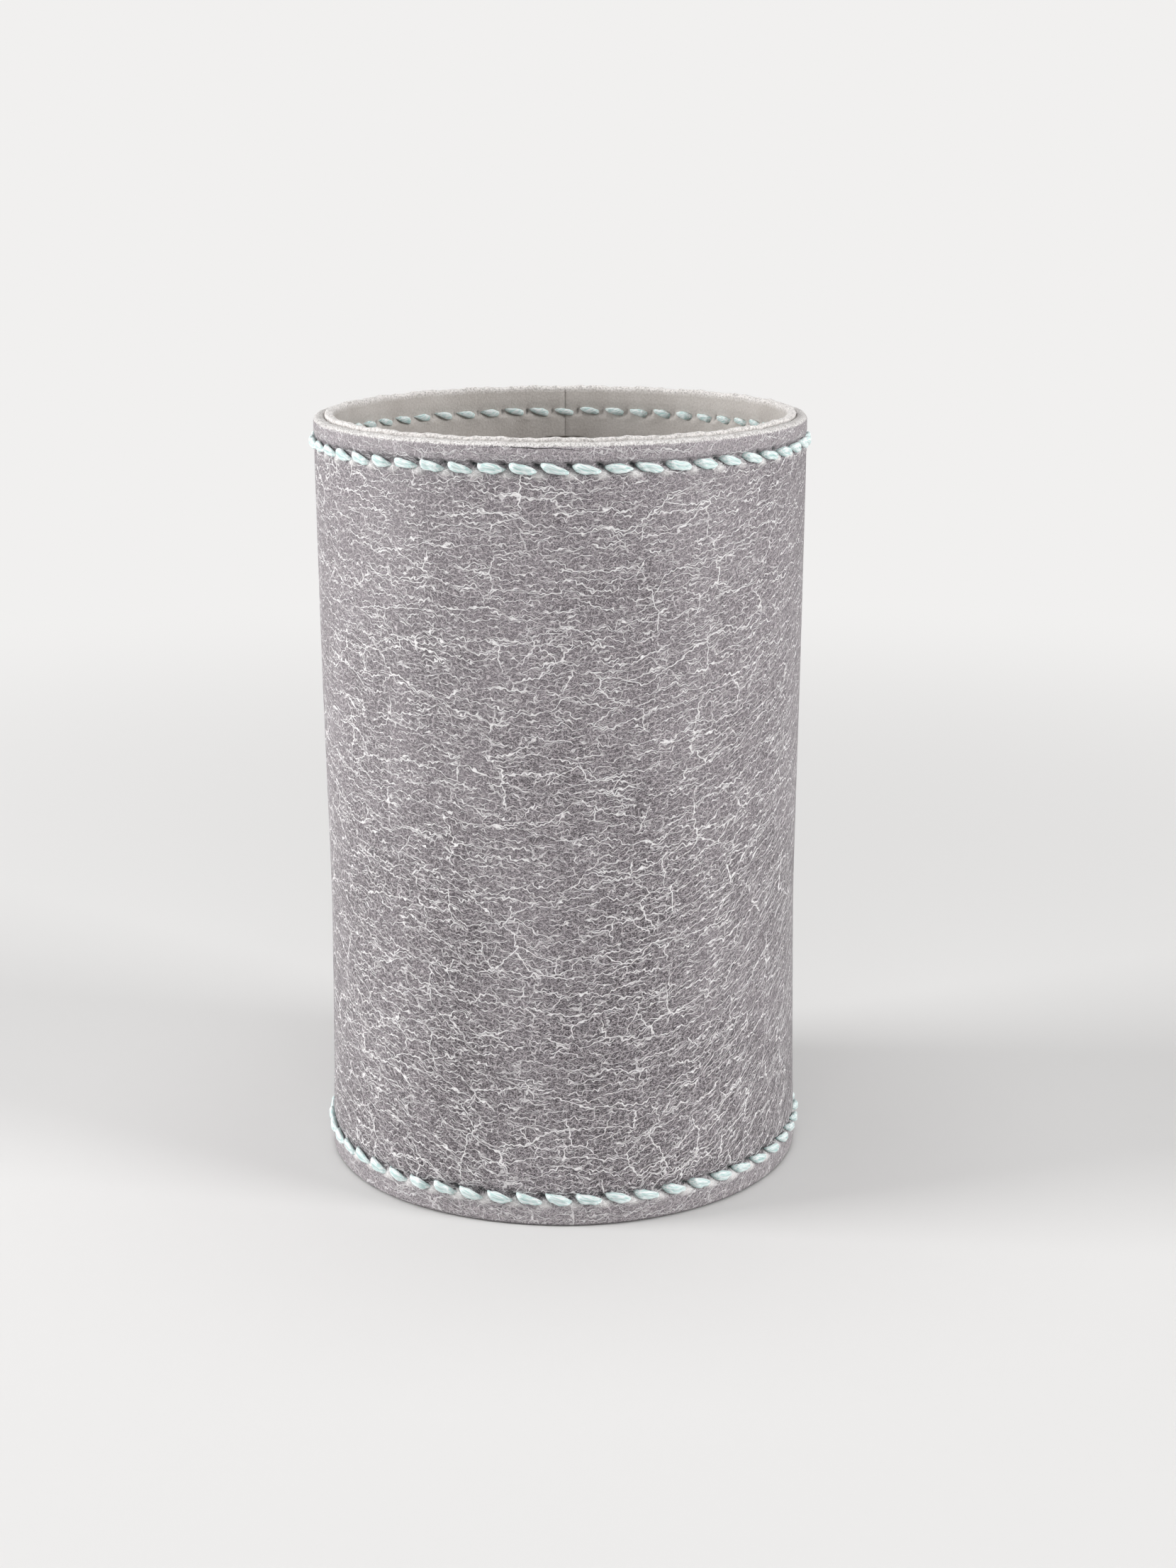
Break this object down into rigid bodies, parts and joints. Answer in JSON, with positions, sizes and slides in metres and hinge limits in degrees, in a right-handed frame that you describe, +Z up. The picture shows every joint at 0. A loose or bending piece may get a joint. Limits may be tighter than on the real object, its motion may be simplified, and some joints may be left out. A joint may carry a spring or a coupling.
{
  "type": "can cooler sleeve",
  "caption": "Open-ended leather sleeve for a slim drinks can: crackled grey leather over a pale lining, saddle stitched round both rims and laced up the back.",
  "frame": {"origin": "centre of the lower rim, on the sleeve's axis", "axes": "+Z up the sleeve's axis, -Y towards its front, and the laced seam at the back on +Y"},
  "size_m": [0.0656, 0.0656, 0.1],
  "materials": {
    "grey_crackled_leather": "matt grey pull-up leather with a fine pale crackle",
    "pale_suede_lining": "undyed suede, fibrous at its raw edges",
    "mint_waxed_thread": "flat waxed polyester thread, pale mint"
  },
  "bodies": {
    "root": {"outer_leather": "grey_crackled_leather", "lining": "pale_suede_lining", "top_stitching": "mint_waxed_thread", "bottom_stitching": "mint_waxed_thread", "seam_lacing": "mint_waxed_thread"}
  },
  "joints": []
}
